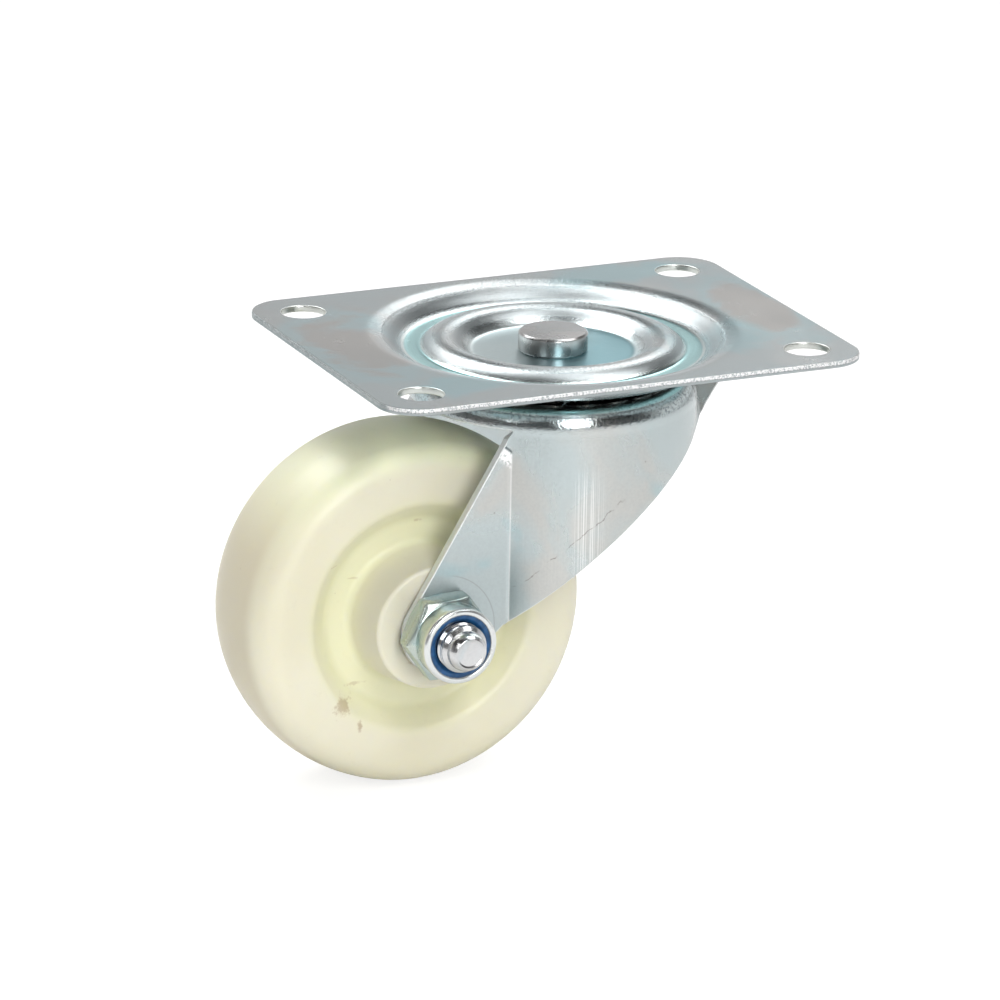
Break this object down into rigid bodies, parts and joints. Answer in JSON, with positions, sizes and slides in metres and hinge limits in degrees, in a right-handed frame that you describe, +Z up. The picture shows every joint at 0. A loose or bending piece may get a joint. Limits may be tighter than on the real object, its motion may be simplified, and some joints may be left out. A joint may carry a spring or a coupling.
{
  "type": "swivel castor",
  "caption": "Swivel castor: a dished rectangular top plate, a pressed fork turning on ball races about a riveted kingpin, and a plain plastic wheel on a bolted axle.",
  "frame": {"origin": "on the kingpin axis, in the plane of the top plate's upper face, at the centre of the four bolt holes", "axes": "+Z up along the kingpin, out of the plate's upper face; +X along the plate's length, away from the trailing wheel; +Y along the wheel's axle towards the bolt's head"},
  "size_m": [0.1226, 0.08, 0.0897],
  "materials": {
    "plate_zinc": "bright zinc plated",
    "rivet_steel": "turned and zinc plated",
    "race_steel": "zinc plated",
    "fork_zinc": "bright zinc plated",
    "ball_steel": "polished",
    "nylon": "satin",
    "sleeve_steel": "drawn",
    "bolt_steel": "bright zinc plated",
    "nut_zinc": "bright zinc plated, bluish",
    "insert_nylon": "satin"
  },
  "bodies": {
    "plate": {"top_plate": "plate_zinc", "kingpin": "rivet_steel", "lower_race": "race_steel"},
    "fork": {"fork": "fork_zinc", "axle_sleeve": "sleeve_steel", "axle_bolt": "bolt_steel", "lock_nut": "nut_zinc", "nut_insert": "insert_nylon"},
    "wheel": {"wheel": "nylon"},
    "upper_balls": {"upper_ball_01": "ball_steel", "upper_ball_02": "ball_steel", "upper_ball_03": "ball_steel", "upper_ball_04": "ball_steel", "upper_ball_05": "ball_steel", "upper_ball_06": "ball_steel", "upper_ball_07": "ball_steel", "upper_ball_08": "ball_steel", "upper_ball_09": "ball_steel", "upper_ball_10": "ball_steel", "upper_ball_11": "ball_steel", "upper_ball_12": "ball_steel", "upper_ball_13": "ball_steel", "upper_ball_14": "ball_steel", "upper_ball_15": "ball_steel", "upper_ball_16": "ball_steel", "upper_ball_17": "ball_steel", "upper_ball_18": "ball_steel", "upper_ball_19": "ball_steel", "upper_ball_20": "ball_steel", "upper_ball_21": "ball_steel", "upper_ball_22": "ball_steel"},
    "lower_balls": {"lower_ball_01": "ball_steel", "lower_ball_02": "ball_steel", "lower_ball_03": "ball_steel", "lower_ball_04": "ball_steel", "lower_ball_05": "ball_steel", "lower_ball_06": "ball_steel", "lower_ball_07": "ball_steel", "lower_ball_08": "ball_steel", "lower_ball_09": "ball_steel", "lower_ball_10": "ball_steel", "lower_ball_11": "ball_steel", "lower_ball_12": "ball_steel", "lower_ball_13": "ball_steel", "lower_ball_14": "ball_steel"}
  },
  "joints": [
    {"name": "fork_swivel", "type": "hinge", "parent": "plate", "child": "fork", "pos_m": [0, 0, 0], "axis": [0, 0, 1], "continuous": true},
    {"name": "wheel_spin", "type": "hinge", "parent": "fork", "child": "wheel", "pos_m": [-0.0336, 0, -0.0527], "axis": [0, 1, 0], "continuous": true},
    {"name": "upper_balls_turn", "type": "hinge", "parent": "plate", "child": "upper_balls", "pos_m": [0, 0, 0], "axis": [0, 0, 1], "continuous": true},
    {"name": "lower_balls_turn", "type": "hinge", "parent": "plate", "child": "lower_balls", "pos_m": [0, 0, 0], "axis": [0, 0, 1], "continuous": true}
  ],
  "couplings": [
    {"joint": "upper_balls_turn", "follows": "fork_swivel", "ratio": 0.5},
    {"joint": "lower_balls_turn", "follows": "fork_swivel", "ratio": 0.5}
  ]
}
